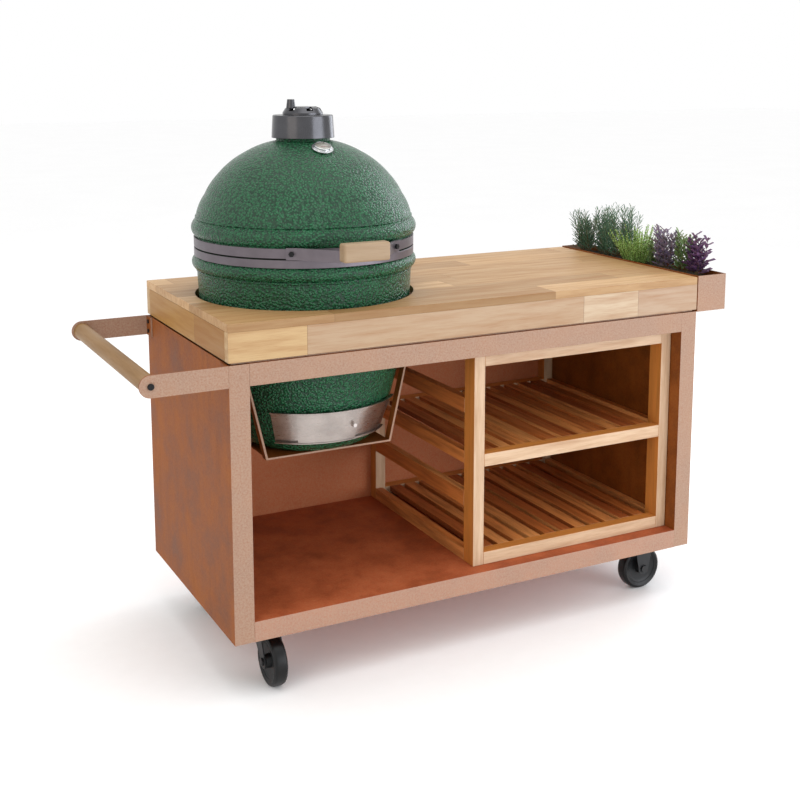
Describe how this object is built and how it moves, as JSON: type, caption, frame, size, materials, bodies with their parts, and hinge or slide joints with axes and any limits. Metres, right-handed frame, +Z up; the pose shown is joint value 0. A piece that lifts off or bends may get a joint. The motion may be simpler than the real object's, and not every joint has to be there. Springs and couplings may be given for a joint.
{
  "type": "kamado ceramic grill in a rolling cart",
  "caption": "Egg-shaped ceramic charcoal grill set into a long wheeled steel cart with a wooden worktop, push handle, slatted shelf insert and planter.",
  "frame": {"origin": "on the ground under the middle of the whole object", "axes": "+X to the right along the front, +Y to the back, +Z up"},
  "size_m": [1.656, 0.704, 1.395],
  "materials": {
    "weathering_steel": "matte",
    "oiled_wood": "satin",
    "insert_wood": "satin",
    "grip_wood": "satin",
    "green_glaze": "gloss",
    "fire_clay": "matte",
    "band_steel": "satin",
    "bright_steel": "satin",
    "cast_vent": "satin",
    "cast_grate": "matte",
    "felt": "matte",
    "dial_glass": "gloss",
    "needle_red": "satin",
    "caster_steel": "satin",
    "black_screws": "satin",
    "tyre_rubber": "matte",
    "hub_plastic": "matte",
    "soil": "matte",
    "herb_leaf": "matte"
  },
  "bodies": {
    "cart": {"apron_back": "oiled_wood", "apron_front": "oiled_wood", "apron_left": "oiled_wood", "apron_right": "oiled_wood", "back_panel": "weathering_steel", "base_band": "band_steel", "base_gasket": "felt", "bushy_thyme_herb": "herb_leaf", "cooking_grid": "bright_steel", "draught_frame": "bright_steel", "egg_base": "green_glaze", "egg_cradle": "weathering_steel", "fire_box": "fire_clay", "fire_grate": "cast_grate", "fire_ring": "fire_clay", "fixed_forks": "caster_steel", "floor_tray": "weathering_steel", "handle_arms": "weathering_steel", "handle_bar": "oiled_wood", "hinge_leaf_base": "band_steel", "hinge_pin": "bright_steel", "planter_box": "weathering_steel", "planting_soil": "soil", "purple_sage_herb": "herb_leaf", "rosemary_herb": "herb_leaf", "screws_and_spacers": "black_screws", "side_panel_left": "weathering_steel", "side_panel_right": "weathering_steel", "swivel_plates": "caster_steel", "top_frame": "weathering_steel", "worktop_board": "oiled_wood"},
    "lid": {"egg_dome": "green_glaze", "dome_gasket": "felt", "dome_band": "band_steel", "hinge_leaf_lid": "band_steel", "lid_handle_arms": "band_steel", "lid_grip": "grip_wood", "lid_bolts": "bright_steel", "thermometer_case": "bright_steel", "thermometer_glass": "dial_glass", "vent_body": "cast_vent"},
    "rotor": {"vent_rotor": "cast_vent"},
    "needle": {"thermometer_needle": "needle_red"},
    "outer_door": {"draught_door": "bright_steel"},
    "inner_screen": {"draught_screen": "bright_steel"},
    "insert": {"insert_posts": "insert_wood", "insert_cross_rails": "insert_wood", "insert_side_rails": "insert_wood", "insert_lower_slats": "insert_wood", "insert_upper_slats": "insert_wood"},
    "fork_front": {"swivel_fork_front": "caster_steel"},
    "fork_back": {"swivel_fork_back": "caster_steel"},
    "wheel_front_left": {"tyre_front_left": "tyre_rubber", "hub_front_left": "hub_plastic"},
    "wheel_back_left": {"tyre_back_left": "tyre_rubber", "hub_back_left": "hub_plastic"},
    "wheel_front_right": {"tyre_front_right": "tyre_rubber", "hub_front_right": "hub_plastic"},
    "wheel_back_right": {"tyre_back_right": "tyre_rubber", "hub_back_right": "hub_plastic"}
  },
  "joints": [
    {"name": "lid_hinge", "type": "hinge", "parent": "cart", "child": "lid", "pos_m": [-0.298, 0.323, 1.029], "axis": [-1, 0, 0], "range_deg": [0, 75]},
    {"name": "vent_rotor_turn", "type": "hinge", "parent": "lid", "child": "rotor", "pos_m": [-0.298, 0.023, 1.357], "axis": [0, 0, 1], "range_deg": [0, 60]},
    {"name": "needle_turn", "type": "hinge", "parent": "lid", "child": "needle", "pos_m": [-0.298, -0.10017, 1.28165], "axis": [0, -0.3939, 0.9191], "range_deg": [0, 270]},
    {"name": "outer_door_slide", "type": "hinge", "parent": "cart", "child": "outer_door", "pos_m": [-0.298, 0.023, 0.603], "axis": [0, 0, 1], "range_deg": [0, 33]},
    {"name": "inner_screen_slide", "type": "hinge", "parent": "cart", "child": "inner_screen", "pos_m": [-0.298, 0.023, 0.603], "axis": [0, 0, 1], "range_deg": [0, 33]},
    {"name": "insert_slide", "type": "slide", "parent": "cart", "child": "insert", "axis": [0, -1, 0], "range_m": [0, 0.55]},
    {"name": "swivel_front", "type": "hinge", "parent": "cart", "child": "fork_front", "pos_m": [-0.513, -0.212, 0.145], "axis": [0, 0, 1], "continuous": true},
    {"name": "wheel_spin_front_left", "type": "hinge", "parent": "fork_front", "child": "wheel_front_left", "pos_m": [-0.513, -0.257, 0.0625], "axis": [1, 0, 0], "continuous": true},
    {"name": "wheel_spin_front_right", "type": "hinge", "parent": "cart", "child": "wheel_front_right", "pos_m": [0.625, -0.212, 0.0625], "axis": [0, 1, 0], "continuous": true},
    {"name": "swivel_back", "type": "hinge", "parent": "cart", "child": "fork_back", "pos_m": [-0.513, 0.258, 0.145], "axis": [0, 0, 1], "continuous": true},
    {"name": "wheel_spin_back_left", "type": "hinge", "parent": "fork_back", "child": "wheel_back_left", "pos_m": [-0.513, 0.213, 0.0625], "axis": [1, 0, 0], "continuous": true},
    {"name": "wheel_spin_back_right", "type": "hinge", "parent": "cart", "child": "wheel_back_right", "pos_m": [0.625, 0.258, 0.0625], "axis": [0, 1, 0], "continuous": true}
  ]
}
